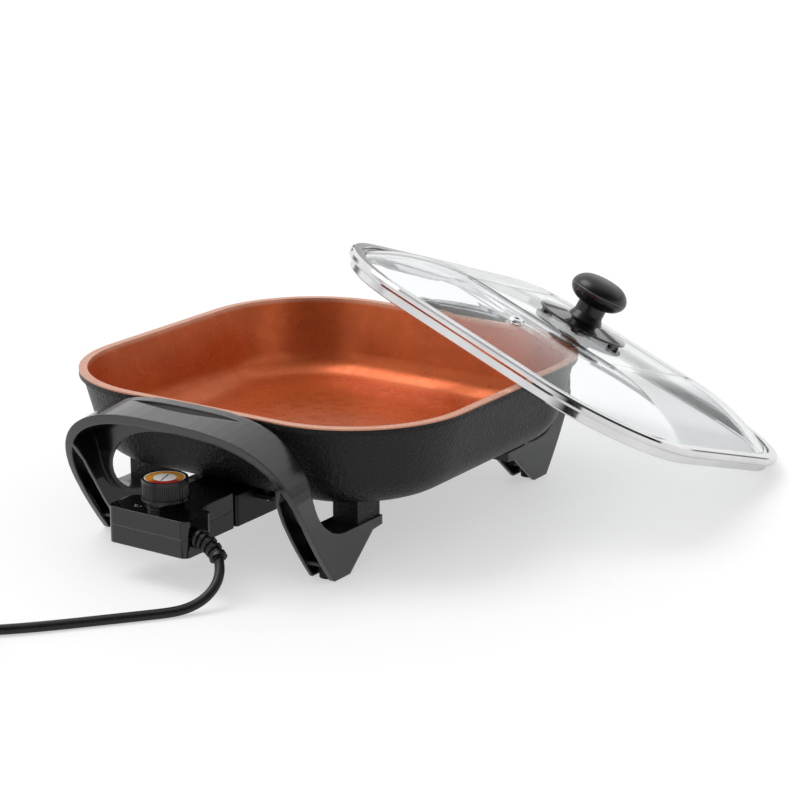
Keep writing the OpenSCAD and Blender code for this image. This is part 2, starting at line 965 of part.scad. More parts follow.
module temperature_dial() {
  color([0.045, 0.045, 0.05])
    stand()
      translate([-dial_x, 0, dial_base])
        difference() {
          union() {
            cylinder(d = dial_d + 1, h = dial_flange);
            translate([0, 0, dial_flange])
              cylinder(d = dial_d, h = dial_height);
          }
          for (k = [0:dial_grooves - 1])
            rotate([0, 0, 360 * k / dial_grooves])
              translate([dial_d / 2 + 0.25, 0, dial_flange])
                cylinder(d = 1.6, h = dial_height - 2.6, $fn = 16);
          translate([0, 0, dial_flange + dial_height - 1.2])
            cylinder(d = dial_d - 3.4, h = 3);
          translate([0, 0, -1])
            cylinder(d = shaft_d, h = 9);
        }
}

module dial_face() {
  color([0.9, 0.88, 0.84])
    stand()
      translate([-dial_x, 0, dial_top - 1.2])
        cylinder(d = dial_d - 3.6, h = 0.8);
}

module dial_shaft() {
  color([0.7, 0.7, 0.7])
    stand()
      translate([-dial_x, 0, 0]) {
        translate([0, 0, shaft_bottom + 3])
          cylinder(d = shaft_d, h = dial_base + 7.5 - shaft_bottom - 3);
        translate([0, 0, shaft_bottom])
          cylinder(d = 3, h = 4);
      }
}

// ---------- cord ----------

function unit(v) = v / norm(v);

// a smooth point between b and c of four neighbouring route points
function curve_pt(a, b, c, d, t) =
  0.5 * (2 * b + (c - a) * t + (2 * a - 5 * b + 4 * c - d) * t * t
    + (3 * b - a - 3 * c + d) * t * t * t);

function smooth(p, n) = concat(
  [for (i = [0:len(p) - 2], k = [0:n - 1])
    curve_pt(i > 0 ? p[i - 1] : 2 * p[0] - p[1], p[i], p[i + 1],
      i < len(p) - 2 ? p[i + 2] : 2 * p[i + 1] - p[i], k / n)],
  [p[len(p) - 1]]
);

function tangent(p, i) =
  unit(p[min(i + 1, len(p) - 1)] - p[max(i - 1, 0)]);

// side direction of each ring: level, and square to the path
function level_side(t) = unit(cross(t, [0, 0, 1]));

function ring(p, t, r, sides) =
  let (u = level_side(t), v = cross(u, t))
  [for (k = [0:sides - 1])
    p + r * cos(360 * k / sides) * u + r * sin(360 * k / sides) * v];

module tube(p, r, sides) {
  n = len(p);
  pts = [for (i = [0:n - 1]) each ring(p[i], tangent(p, i), r, sides)];
  walls = [for (i = [0:n - 2], k = [0:sides - 1])
    let (a = i * sides + k, b = i * sides + (k + 1) % sides)
    [a, b, b + sides, a + sides]];
  ends = [[for (k = [sides - 1:-1:0]) k],
    [for (k = [0:sides - 1]) (n - 1) * sides + k]];
  polyhedron(points = pts, faces = concat(walls, ends), convexity = 10);
}

// the coil: in along the floor, half a turn up, and out again on top
coil_turns = 2 * layer_turns + 0.5;
coil_lead = 37;
coil_steps = 24;

function coil_radius(t) =
  coil_in - coil_pitch / 4 + coil_pitch * abs(t - coil_turns / 2);

function coil_height(t) =
  coil_z + coil_pitch * min(1, max(0, (t - layer_turns) / 0.5));

coil_line = [for (i = [0:coil_turns * coil_steps])
  let (t = i / coil_steps, a = coil_lead + 360 * t, r = coil_radius(t))
  [coil_x + r * cos(a), coil_y + r * sin(a), coil_height(t)]];
coil_last = len(coil_line) - 1;
entry_dir = [-sin(coil_lead), cos(coil_lead), 0];
exit_angle = coil_lead + 360 * coil_turns + 90;
exit_dir = [cos(exit_angle), sin(exit_angle), 0];

// each end of the coil runs straight: one diameter in, and clear of the turns out
plug_run = 4 * cord_d + 1;
coil_start = coil_line[0] - cord_d * entry_dir;
coil_exit = coil_line[coil_last] + plug_run * exit_dir;
coil_pts = concat([coil_start], coil_line, [coil_exit]);

// least space between one turn of the coil and another
coil_gap = min([for (i = [0:coil_last], j = [i + 12:1:coil_last])
  norm(coil_line[i] - coil_line[j])]) - cord_d;
echo(coil_gap = coil_gap);

cord_line = smooth(concat(route, [coil_start - 10 * entry_dir, coil_start]), 3);

module power_cord() {
  color([0.05, 0.05, 0.05])
    stand()
      tube(cord_line, cord_r, cord_sides);
}

module cord_coil() {
  color([0.05, 0.05, 0.05])
    stand()
      tube(coil_pts, cord_r, 6);
}

module coil_tie() {
  r0 = coil_in - coil_pitch / 4 - cord_r - 0.8;
  r1 = coil_radius(0) + cord_r + 0.6;
  h = coil_z + coil_pitch + cord_r + 0.3;
  color([0.12, 0.12, 0.12])
    stand()
      translate([coil_x, coil_y, 0])
        rotate([0, 0, coil_lead + 200])
          difference() {
            translate([r0 - tie_t, -6, 0.1])
              cube([r1 - r0 + 2 * tie_t, 12, h + tie_t - 0.1]);
            translate([r0, -7, tie_t + 0.1])
              cube([r1 - r0, 14, h - tie_t - 0.1]);
          }
}

module at_plug() {
  translate(coil_exit)
    rotate([0, 0, exit_angle])
      children();
}

module plug_body() {
  h = coil_exit[2] - 0.1;
  color([0.05, 0.05, 0.05])
    stand()
      at_plug()
        rotate([90, 0, 90]) {
          cylinder(d1 = cord_d + 3, d2 = cord_d + 7, h = 20);
          for (k = [0:3])
            translate([0, 0, 2.5 + 4 * k])
              cylinder(d = cord_d + 5.5 + k * 0.6, h = 2);
          translate([0, 0, 20])
            linear_extrude(height = 24)
              rounded_plan(25, 2 * h, 6);
        }
}

module plug_blades() {
  color([0.8, 0.78, 0.7])
    stand()
      at_plug()
        for (s = [-1, 1])
          translate([44, s * 6.35 - 0.75, -3.2])
            difference() {
              cube([17, 1.5, 6.4]);
              translate([13.5, -1, 3.2])
                rotate([-90, 0, 0])
                  cylinder(d = 3, h = 4);
            }
}

// ---------- lid ----------

// places a piece of the lid where the lid leans on the pan
module lean() {
  stand()
    translate([lid_x, lid_y, lid_z])
      rotate([0, 0, lid_facing])
        rotate([0, lid_tilt, 0])
          rotate([0, 0, lid_turn])
            children();
}

module dome_section(inset) {
  intersection() {
    translate([0, crown - dome_r])
      circle(r = dome_r - inset, $fn = 256);
    translate([0, glass_top - glass_t])
      square([dome_span + 0.01, dome_rise + glass_t + 1]);
  }
}

// carries a piece to the vent's place on the dome, square to the glass
module at_vent() {
  turn = asin((-grommet_x - lid_run) / (dome_r - glass_t / 2));
  translate([-lid_run, 0, crown - dome_r])
    rotate([0, -turn, 0])
      translate([0, 0, dome_r - glass_t / 2])
        children();
}

module lid_glass() {
  color([0.8, 0.88, 0.9, 0.35])
    lean()
      difference() {
        round_square(lid_run, crown - glass_t, crown) {
          difference() {
            union() {
              dome_section(0);
              translate([dome_span - 1, glass_top - glass_t])
                square([rim_flat + 1, glass_t]);
            }
            dome_section(glass_t);
          }
        }
        translate([0, 0, crown - glass_t - 1])
          cylinder(d = knob_hole, h = glass_t + 2);
        at_vent()
          translate([0, 0, -glass_t])
            cylinder(d = grommet_d, h = 2 * glass_t);
      }
}

module clamp_outline(inset) {
  c = lid_corner - inset;
  top = -inset;
  low = -clamp_depth + inset;
  polygon([[lid_corner - clamp_lip - inset, top], [c - 2, top], [c - 0.6, top - 0.6],
    [c, top - 2], [c, low + 2], [c - 0.6, low + 0.6], [c - 2, low],
    [lid_corner - clamp_lip - inset, low]]);
}

module lid_band() {
  s = band_sheet;
  foot = -clamp_depth - skirt_depth;
  color([0.78, 0.78, 0.78])
    lean()
      round_square(lid_run, 0, 0) {
        difference() {
          clamp_outline(0);
          clamp_outline(s);
        }
        translate([lid_corner - skirt_inset - s, foot + 1])
          square([s, skirt_depth - 1 + s / 2]);
        translate([lid_corner - skirt_inset - 1, foot + 1])
          circle(r = 1, $fn = 24);
      }
}

module vent_grommet() {
  t = glass_t / 2;
  color([0.8, 0.8, 0.8])
    lean()
      at_vent()
        difference() {
          union() {
            translate([0, 0, -t - 0.6])
              cylinder(d = grommet_d - 2 * gap, h = 2 * t + 1.2);
            translate([0, 0, t + 0.25])
              cylinder(d1 = grommet_d + 3.6, d2 = grommet_d + 1.6, h = 1);
            translate([0, 0, -t - 1.2])
              cylinder(d = grommet_d + 3, h = 0.9);
          }
          translate([0, 0, -t - 3])
            cylinder(d = 3.4, h = 2 * t + 6);
        }
}

module knob_base() {
  tab = 5;
  color([0.04, 0.04, 0.045])
    lean()
      translate([0, 0, crown])
        difference() {
          union() {
            translate([0, 0, base_rise])
              cylinder(d = knob_base_d, h = 1.6);
            translate([0, 0, base_rise + 1.6])
              cylinder(d1 = knob_base_d - 2, d2 = 30, h = base_t - 1.6 + 1.2);
            cylinder(d = 20, h = base_rise + 1);
            for (k = [0:5])
              rotate([0, 0, 60 * k + 20])
                translate([knob_base_d / 2 - 4.5, -tab / 2, 0])
                  cube([3.5, tab, base_rise + 0.5]);
          }
          translate([0, 0, -1])
            cylinder(d = lid_screw_d + 0.6, h = 20);
        }
}

// half outline of the knob's rounded head
function head_pts(r, h, z) =
  [for (a = [-90:7.5:90])
    [max(0, r * pow(cos(a), 0.62)),
      z + h / 2 + h / 2 * (a < 0 ? -1 : 1) * pow(abs(sin(a)), 1.15)]];

module lid_knob() {
  z0 = crown + base_rise + base_t + 1.2;
  neck = 11;
  head_h = knob_height - neck + 1;
  color([0.035, 0.035, 0.04])
    lean()
      difference() {
        union() {
          translate([0, 0, z0])
            cylinder(d1 = 27, d2 = 22, h = 5);
          translate([0, 0, z0])
            cylinder(d = 22, h = neck + 3);
          rotate_extrude($fn = 96)
            polygon(head_pts(knob_d / 2, head_h, z0 + neck));
        }
        translate([0, 0, z0 - 1])
          cylinder(d = lid_screw_d - 0.6, h = 17);
      }
}

module knob_screw() {
  color([0.75, 0.75, 0.75])
    lean()
      translate([0, 0, crown - glass_t - 1.6])
        screw_up(lid_screw_d - 0.8, glass_t + 20, 10, 2.8);
}

module knob_washer() {
  color([0.3, 0.3, 0.3])
    lean()
      translate([0, 0, crown - glass_t - 1.6])
        difference() {
          cylinder(d = 16, h = 1.6);
          translate([0, 0, -1])
            cylinder(d = lid_screw_d + 0.4, h = 4);
        }
}

pan_body();
nonstick_lining();
heating_element();
terminal_pins();
pin_insulators();
socket_shroud();
shroud_screws();
near_handle();
far_handle();
handle_screws();
foot_pads();
control_housing_top();
control_housing_bottom();
housing_screws();
probe_rod();
terminal_sleeves();
thermostat_frame();
bimetal_blade();
contact_rivets();
indicator_lamp();
lamp_lens();
strain_relief();
power_cord();
cord_coil();
coil_tie();
plug_body();
plug_blades();
temperature_dial();
dial_face();
dial_shaft();
lid_glass();
lid_band();
vent_grommet();
knob_base();
lid_knob();
knob_screw();
knob_washer();
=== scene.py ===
import math

import bmesh
import bpy
from bpy.props import FloatProperty, FloatVectorProperty, IntProperty, PointerProperty
from mathutils import Matrix, Vector


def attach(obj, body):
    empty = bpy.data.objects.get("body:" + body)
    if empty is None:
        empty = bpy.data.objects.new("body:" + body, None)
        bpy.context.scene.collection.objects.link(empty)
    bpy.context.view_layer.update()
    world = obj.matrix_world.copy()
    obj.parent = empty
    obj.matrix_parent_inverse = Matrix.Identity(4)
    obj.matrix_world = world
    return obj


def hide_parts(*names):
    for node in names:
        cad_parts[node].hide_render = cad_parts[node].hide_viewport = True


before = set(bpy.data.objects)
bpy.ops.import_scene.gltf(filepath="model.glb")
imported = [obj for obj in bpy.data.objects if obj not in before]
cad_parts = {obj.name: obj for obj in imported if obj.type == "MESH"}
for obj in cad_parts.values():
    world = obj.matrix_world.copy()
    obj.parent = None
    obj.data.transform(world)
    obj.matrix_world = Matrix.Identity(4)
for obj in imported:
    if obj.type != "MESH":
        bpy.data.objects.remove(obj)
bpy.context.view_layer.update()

bl_info = {
    "name": "Electric skillet",
    "version": (1, 0, 0),
    "blender": (4, 5, 0),
    "location": "View3D > Sidebar > Skillet",
    "description": "Finishes and fine pieces of a rounded-square electric skillet",
    "category": "Add Mesh",
}

# Lengths are in metres, from the middle of the cooking surface. The floor lies below it.
FLOOR = -0.0515
RIM_TOP = 0.108 + FLOOR

# The cord's route from its strain relief to the coil, with heights above the floor.
ROUTE = [
    (-0.2017, -0.0537, 0.0278), (-0.2057, -0.0584, 0.0228), (-0.2111, -0.0611, 0.0176),
    (-0.2175, -0.0617, 0.0128), (-0.2242, -0.0603, 0.0087), (-0.2311, -0.0576, 0.0058),
    (-0.2380, -0.0539, 0.0041), (-0.2445, -0.0495, 0.0035), (-0.2510, -0.0445, 0.0035),
    (-0.2635, -0.0345, 0.0035), (-0.2755, -0.0245, 0.0035), (-0.2880, -0.0145, 0.0035),
    (-0.3005, -0.0040, 0.0035), (-0.3270, 0.0180, 0.0037), (-0.3410, 0.0345, 0.0041),
]
ROUTE_STEPS = 6  # points from one of these to the next
ROUTE_PASSES = 40  # how often the whole route is evened out

# The coil's turns run in along the floor, climb, and run out again on top.
COIL_CENTRE = (-0.397, 0.038)
COIL_MIDDLE = 0.038  # radius at the middle of the turns
COIL_PITCH = 0.0073  # from one turn to the next, and from the lower layer to the upper
COIL_LAYER = 1.25  # turns in each layer
COIL_CLIMB = 0.5  # turns that it takes to climb
COIL_TURNS = 2 * COIL_LAYER + COIL_CLIMB
COIL_LEAD = math.radians(37)  # where round the coil the cord comes in
COIL_LIFT = 0.0044  # height of the lower layer's centreline above the floor
COIL_STEPS = 40  # points in one turn
LEAD_RUN = 0.010  # straight run before the coil
PLUG_RUN = 0.0274  # straight run after it

# The strap round the coil: how far it stands off the cord, and what its wall is like.
STRAP_AT = COIL_LEAD + math.radians(200)
STRAP_INSIDE, STRAP_OUTSIDE, STRAP_ABOVE = 0.0012, 0.0010, 0.0007
STRAP_FOOT = 0.0005  # height of its lowest stretch above the floor
STRAP_WALL = 0.0008
STRAP_SQUARENESS = 4.5  # 2 is an oval, and more is squarer

# The dial's print, measured from the dial's axis.
DIAL_AXIS = (-0.1885, 0.0)
RING = (0.0082, 0.0129)
RING_LINE = (0.0079, 0.0083)
RING_HOTTEST = math.radians(222)
MARK_END = 0.0122
MARK_MIDDLE = 0.0115
MARK_HALF_WIDTH = 0.0003
BAR_AT = math.radians(18)
BAR_REACH = 0.0072
BAR_HALF_WIDTH = 0.00045
PRINT_BLUR = 0.00012

# The leaning lid: its centre, its tilt about Y, and the direction that it faces.
LID_AT = (0.1577, -0.1038, 0.0924 + FLOOR)
LID_TILT = math.radians(27.2)
LID_FACING = math.radians(-50)
KNOB_SEAM = 0.0485  # along the lid's axis from its centre

# The viewpoint: what it looks at, how far off it is, how far round from -Y it stands and how high.
VIEW_CENTRE = (0.07111, -0.01132, 0.06 + FLOOR)
VIEW_DISTANCE = 1.801
VIEW_ROUND = math.radians(-56.172)
VIEW_RISE = math.radians(16.430)
# Its focal length and the width of its picture, both in pixels, and its sensor in millimetres.
VIEW_FOCUS = 2441.9
VIEW_WIDTH = 800.0
SENSOR_WIDTH = 36.0

WHITE = (1.0, 1.0, 1.0, 1.0)


# ---------------------------------------------------------------- settings


class SkilletSizes(bpy.types.PropertyGroup):
    """Sizes of the pieces that are made here."""

    cord_diameter: FloatProperty(
        name="Cord", description="Diameter of the power cord",
        default=0.0066, min=0.005, max=0.008, unit="LENGTH", precision=4,
    )
    tie_width: FloatProperty(
        name="Tie width", description="Width of the strap round the coiled cord",
        default=0.012, min=0.008, max=0.016, unit="LENGTH", precision=4,
    )
    coating_grain: FloatProperty(
        name="Coating grain", description="Size of one wrinkle of the pan's black coating",
        default=0.0016, min=0.0006, max=0.004, unit="LENGTH", precision=4,
    )
    mark_length: FloatProperty(
        name="Mark length", description="Length of one mark on the dial's scale",
        default=0.0019, min=0.001, max=0.003, unit="LENGTH", precision=4,
    )
    mark_count: IntProperty(
        name="Scale marks", description="Number of marks round the dial's scale",
        default=14, min=6, max=24,
    )


class SkilletFinishes(bpy.types.PropertyGroup):
    """Colours of the finishes."""

    coating: FloatVectorProperty(
        name="Pan coating", description="Wrinkled coating outside the pan",
        subtype="COLOR", default=(0.0055, 0.0055, 0.006), min=0, max=1,
    )
    copper: FloatVectorProperty(
        name="Copper lining", description="Ceramic lining inside the pan and on its rim",
        subtype="COLOR", default=(0.55, 0.112, 0.026), min=0, max=1,
    )
    moulding: FloatVectorProperty(
        name="Handles", description="Moulded handles and legs",
        subtype="COLOR", default=(0.0045, 0.0045, 0.005), min=0, max=1,
    )
    housing: FloatVectorProperty(
        name="Heat control", description="Glossy housing of the heat control",
        subtype="COLOR", default=(0.003, 0.003, 0.0035), min=0, max=1,
    )
    cord: FloatVectorProperty(
        name="Cord", description="Cord, strain relief and plug",
        subtype="COLOR", default=(0.006, 0.006, 0.0065), min=0, max=1,
    )
    steel: FloatVectorProperty(
        name="Steel", description="Polished band of the lid",
        subtype="COLOR", default=(0.79, 0.79, 0.80), min=0, max=1,
    )
    glass: FloatVectorProperty(
        name="Glass", description="Tint of the lid's glass",
        subtype="COLOR", default=(0.92, 0.945, 0.95), min=0, max=1,
    )
    scale_cool: FloatVectorProperty(
        name="Scale, low", description="Ring of the dial at its low settings",
        subtype="COLOR", default=(0.80, 0.33, 0.03), min=0, max=1,
    )
    scale_hot: FloatVectorProperty(
        name="Scale, high", description="Ring of the dial at its high settings",
        subtype="COLOR", default=(0.42, 0.02, 0.015), min=0, max=1,
    )


# ---------------------------------------------------------------- finishes


class Nodes:
    """The nodes of one finish or of the backdrop. An input takes a value or another node's output."""

    def __init__(self, tree):
        self.nodes, self.links = tree.nodes, tree.links
        self.nodes.clear()

    def feed(self, socket, value):
        if isinstance(value, bpy.types.NodeSocket):
            self.links.new(value, socket)
        else:
            socket.default_value = value

    def fill(self, node, **inputs):
        """Feeds a node's inputs by name, with _ for a space."""
        for name, value in inputs.items():
            self.feed(node.inputs[name.replace("_", " ")], value)
        return node

    def add(self, kind, **inputs):
        return self.fill(self.nodes.new(kind), **inputs)

    def calc(self, op, a, b=0.0):
        node = self.add("ShaderNodeMath")
        node.operation = op
        for socket, value in zip(node.inputs, (a, b)):
            self.feed(socket, value)
        return node.outputs["Value"]

    def weigh(self, one, weight, other, other_weight):
        """Two values added up, each times its own weight."""
        parts = self.calc("MULTIPLY", one, weight), self.calc("MULTIPLY", other, other_weight)
        return self.calc("ADD", *parts)

    def axes(self, coords):
        """The X, Y and Z of some coordinates."""
        node = self.add("ShaderNodeSeparateXYZ", Vector=coords)
        return [node.outputs[axis] for axis in "XYZ"]

    def spread(self, fac, low, high, start=0.3, end=0.7):
        """What lies between start and end, as most of a texture does, made to run from low to high."""
        node = self.add(
            "ShaderNodeMapRange", Value=fac, From_Min=start, From_Max=end, To_Min=low, To_Max=high,
        )
        return node.outputs["Result"]

    def blend(self, fac, one, other):
        """A colour between two, each of them a colour or another node's output."""
        node = self.add("ShaderNodeMix")
        node.data_type = "RGBA"
        self.feed(node.inputs[0], fac)
        for socket, value in ((node.inputs[6], one), (node.inputs[7], other)):
            self.feed(socket, (*value, 1.0) if isinstance(value, tuple) else value)
        return node.outputs[2]


class Finish(Nodes):
    """A material with one principled shader, built up from textures in object space."""

    def __init__(self, name, colour, rough, metal=0.0):
        self.made = bpy.data.materials.new(name)
        self.made.use_nodes = True
        self.made.diffuse_color = (*colour, 1.0)
        super().__init__(self.made.node_tree)
        self.colour = colour
        self.coords = self.add("ShaderNodeTexCoord").outputs["Object"]
        self.shader = self.add(
            "ShaderNodeBsdfPrincipled", Base_Color=(*colour, 1.0), Roughness=rough, Metallic=metal,
        )
        self.out = self.add("ShaderNodeOutputMaterial", Surface=self.shader.outputs["BSDF"])

    def set(self, **inputs):
        self.fill(self.shader, **inputs)

    def placed(self, centre=(0, 0, 0), turn=(0, 0, 0), stretch=(1, 1, 1)):
        """Object coordinates measured from a centre, turned and stretched."""
        back = self.add("ShaderNodeMapping")
        back.vector_type = "TEXTURE"
        self.fill(back, Vector=self.coords, Location=centre, Rotation=turn, Scale=stretch)
        return back.outputs["Vector"]

    def noise(self, size, detail, rough=0.5, coords=None, warp=0.0):
        node = self.add(
            "ShaderNodeTexNoise", Vector=coords or self.coords,
            Scale=1.0 / size, Detail=detail, Roughness=rough, Distortion=warp,
        )
        return node.outputs["Fac"]

    def pebbles(self, size):
        """Cells with rounded edges."""
        node = self.add("ShaderNodeTexVoronoi")
        node.feature = "SMOOTH_F1"
        self.fill(node, Vector=self.coords, Scale=1.0 / size)
        return node.outputs["Distance"]

    def shades(self, fac, darker, lighter, start=0.3, end=0.7):
        """The finish's colour, from darker to lighter than it is."""
        low = tuple(min(1, c * darker) for c in self.colour)
        high = tuple(min(1, c * lighter) for c in self.colour)
        return self.blend(self.spread(fac, 0, 1, start, end), low, high)

    def tone(self, fac, darker, lighter, start=0.3, end=0.7):
        """Lets the colour vary a little."""
        self.paint(self.shades(fac, darker, lighter, start, end))

    def paint(self, colour):
        self.set(Base_Color=colour)

    def dull(self, fac, low, high):
        """Lets the roughness vary from low to high."""
        self.set(Roughness=self.spread(fac, low, high))

    def relief(self, *layers, edge=0.0):
        """Bumps laid on one another, (texture, depth in metres) pairs, over edges softened by a radius."""
        below = None
        if edge:
            round_off = self.add("ShaderNodeBevel", Radius=edge)
            round_off.samples = 6
            below = round_off.outputs["Normal"]
        for height, depth in layers:
            bump = self.add("ShaderNodeBump", Height=height, Distance=depth, Strength=1.0)
            if below is not None:
                self.fill(bump, Normal=below)
            below = bump.outputs["Normal"]
        self.set(Normal=below)


def wrinkled_coating(colour, grain):
    """Black coating that dried in wrinkles."""
    f = Finish("wrinkled_black_coating", colour, 0.36)
    wrinkle = f.noise(grain, detail=4.0, rough=0.55, warp=0.8)
    pebble = f.pebbles(grain * 1.3)
    broad = f.noise(0.03, detail=2.0)
    f.tone(wrinkle, darker=0.6, lighter=1.7)
    f.dull(f.weigh(wrinkle, 0.7, broad, 0.3), low=0.26, high=0.44)
    f.relief((broad, 0.00016), (pebble, 0.0005), (wrinkle, 0.0006))
    f.set(Specular_IOR_Level=0.33)
    return f.made


def copper_ceramic(colour):
    """Satin copper, painted paler along the top of the rim as a painted highlight."""
    f = Finish("copper_ceramic_lining", colour, 0.3, metal=0.45)
    cloud = f.noise(0.045, detail=3.0)
    fine = f.noise(0.009, detail=1.0)
    height = f.axes(f.coords)[2]
    # painted highlight: the top of the rim is painted paler, as if light catches it there
    lip_highlight_mask = f.spread(height, low=0.0, high=0.75, start=RIM_TOP - 0.0035, end=RIM_TOP - 0.0012)
    satin, lip_highlight = f.shades(cloud, darker=0.9, lighter=1.1), (0.68, 0.36, 0.24)
    f.paint(f.blend(lip_highlight_mask, satin, lip_highlight))
    f.dull(fine, low=0.24, high=0.36)
    f.relief((fine, 0.00001))
    f.set(Specular_IOR_Level=0.3, Coat_Weight=0.08, Coat_Roughness=0.2)
    return f.made


def handle_moulding(colour):
    """Half-glossy moulding with the least trace of how it flowed into its mould."""
    f = Finish("handle_moulding", colour, 0.2)
    spark = f.noise(0.0007, detail=3.0, rough=0.6)
    flow = f.noise(0.03, detail=2.0)
    f.tone(flow, darker=0.8, lighter=1.25)
    f.dull(f.weigh(spark, 0.5, flow, 0.5), low=0.16, high=0.27)
    f.relief((flow, 0.00004), (spark, 0.000008), edge=0.0022)
    f.set(Specular_IOR_Level=0.55, Coat_Weight=0.5, Coat_Roughness=0.12)
    return f.made


def glossy_moulding(colour):
    """Moulding polished almost to a mirror, with a haze and fine rubs."""
    f = Finish("glossy_black_moulding", colour, 0.1)
    haze = f.noise(0.02, detail=4.0, rough=0.6)
    rub = f.noise(0.0012, detail=2.0, rough=0.6)
    f.tone(haze, darker=0.8, lighter=1.3)
    f.dull(f.weigh(haze, 0.8, rub, 0.2), low=0.05, high=0.11)
    f.relief((f.noise(0.009, detail=2.0), 0.00005), edge=0.0013)
    f.set(Specular_IOR_Level=0.5, Coat_Weight=0.3, Coat_Roughness=0.05)
    return f.made


def satin_moulding(name, colour, low, high):
    """Moulding with a fine even grain, whose roughness runs from low to high."""
    f = Finish(name, colour, 0.4)
    grain = f.noise(0.0006, detail=3.0, rough=0.6)
    f.tone(f.noise(0.012, detail=2.0), darker=0.75, lighter=1.35)
    f.dull(grain, low, high)
    f.relief((grain, 0.00002))
    return f.made


def knob_moulding(colour):
    """Satin moulding with the fine groove where the knob's head parts, painted paler along it as a painted
    highlight.
    """
    f = Finish("knob_moulding", colour, 0.3)
    grain = f.noise(0.0006, detail=3.0, rough=0.6)
    skin = f.shades(f.noise(0.012, detail=2.0), darker=0.75, lighter=1.35)
    height = f.axes(f.placed(centre=LID_AT, turn=(0, LID_TILT, LID_FACING)))[2]
    off_seam = f.calc("ABSOLUTE", f.calc("SUBTRACT", height, KNOB_SEAM))
    seam_and_highlight = f.spread(off_seam, low=1.0, high=0.0, start=0.0003, end=0.0008)
    # the seam's line is painted paler than the skin: a painted highlight along the groove
    f.paint(f.blend(seam_and_highlight, skin, (0.08, 0.08, 0.083)))
    f.dull(grain, low=0.24, high=0.34)
    f.relief((grain, 0.00002), (seam_and_highlight, 0.0002))
    return f.made


def cord_jacket(name, colour):
    """Soft jacket with a little dust on it."""
    f = Finish(name, colour, 0.4)
    dust = f.noise(0.004, detail=4.0, rough=0.6)
    skin = f.noise(0.0005, detail=2.0)
    f.tone(dust, darker=0.8, lighter=1.5)
    f.dull(dust, low=0.33, high=0.48)
    f.relief((dust, 0.00004), (skin, 0.00001))
    f.set(Specular_IOR_Level=0.45)
    return f.made


def matt_rubber(colour):
    """Dull rubber, scuffed paler in places."""
    f = Finish("matt_black_rubber", colour, 0.75)
    scuff = f.noise(0.002, detail=5.0, rough=0.65)
    f.tone(scuff, darker=0.8, lighter=1.9)
    f.dull(scuff, low=0.62, high=0.86)
    f.relief((scuff, 0.00006))
    return f.made


def white_insulator(colour):
    """Unglazed ceramic."""
    f = Finish("white_insulator", colour, 0.7)
    chalk = f.noise(0.0012, detail=5.0, rough=0.65)
    f.tone(chalk, darker=0.88, lighter=1.08)
    f.dull(chalk, low=0.6, high=0.8)
    f.relief((chalk, 0.00004))
    return f.made


def bright_metal(name, colour, low, high, brushed=(1, 1, 1), size=0.004):
    """Drawn or plated metal. Brushed stretches its streaks along X, Y and Z."""
    f = Finish(name, colour, 0.3, metal=1.0)
    draw = f.noise(size, detail=4.0, rough=0.6, coords=f.placed(stretch=brushed))
    f.tone(draw, darker=0.9, lighter=1.06)
    f.dull(draw, low, high)
    f.relief((draw, 0.000008))
    return f.made


def sheathed_tube(colour):
    """Steel sheath of the element, coloured by heat in broad patches."""
    f = Finish("sheathed_heating_tube", colour, 0.5, metal=1.0)
    heat = f.noise(0.02, detail=3.0)
    pits = f.noise(0.0009, detail=4.0, rough=0.65)
    burnt, bare = (0.10, 0.085, 0.08), (0.26, 0.25, 0.26)
    f.paint(f.blend(f.spread(heat, low=0, high=1), burnt, bare))
    f.dull(pits, low=0.42, high=0.62)
    f.relief((pits, 0.00003))
    return f.made


def polished_steel(colour):
    """Steel polished bright over the waves that rolling left."""
    f = Finish("polished_steel", colour, 0.07, metal=1.0)
    roll = f.noise(0.03, detail=2.0)
    polish = f.noise(0.0016, detail=4.0, rough=0.6)
    f.tone(roll, darker=0.93, lighter=1.05)
    f.dull(polish, low=0.05, high=0.1)
    f.relief((roll, 0.00002))
    return f.made


def clear_glass(name, colour, rough=0.0):
    """Glass or clear plastic with the faintest swirl."""
    f = Finish(name, colour, rough)
    swirl = f.noise(0.05, detail=2.0)
    f.tone(swirl, darker=0.98, lighter=1.02)
    f.relief((swirl, 0.00002))
    f.set(Transmission_Weight=1.0, IOR=1.5, Specular_IOR_Level=0.5)
    return f.made


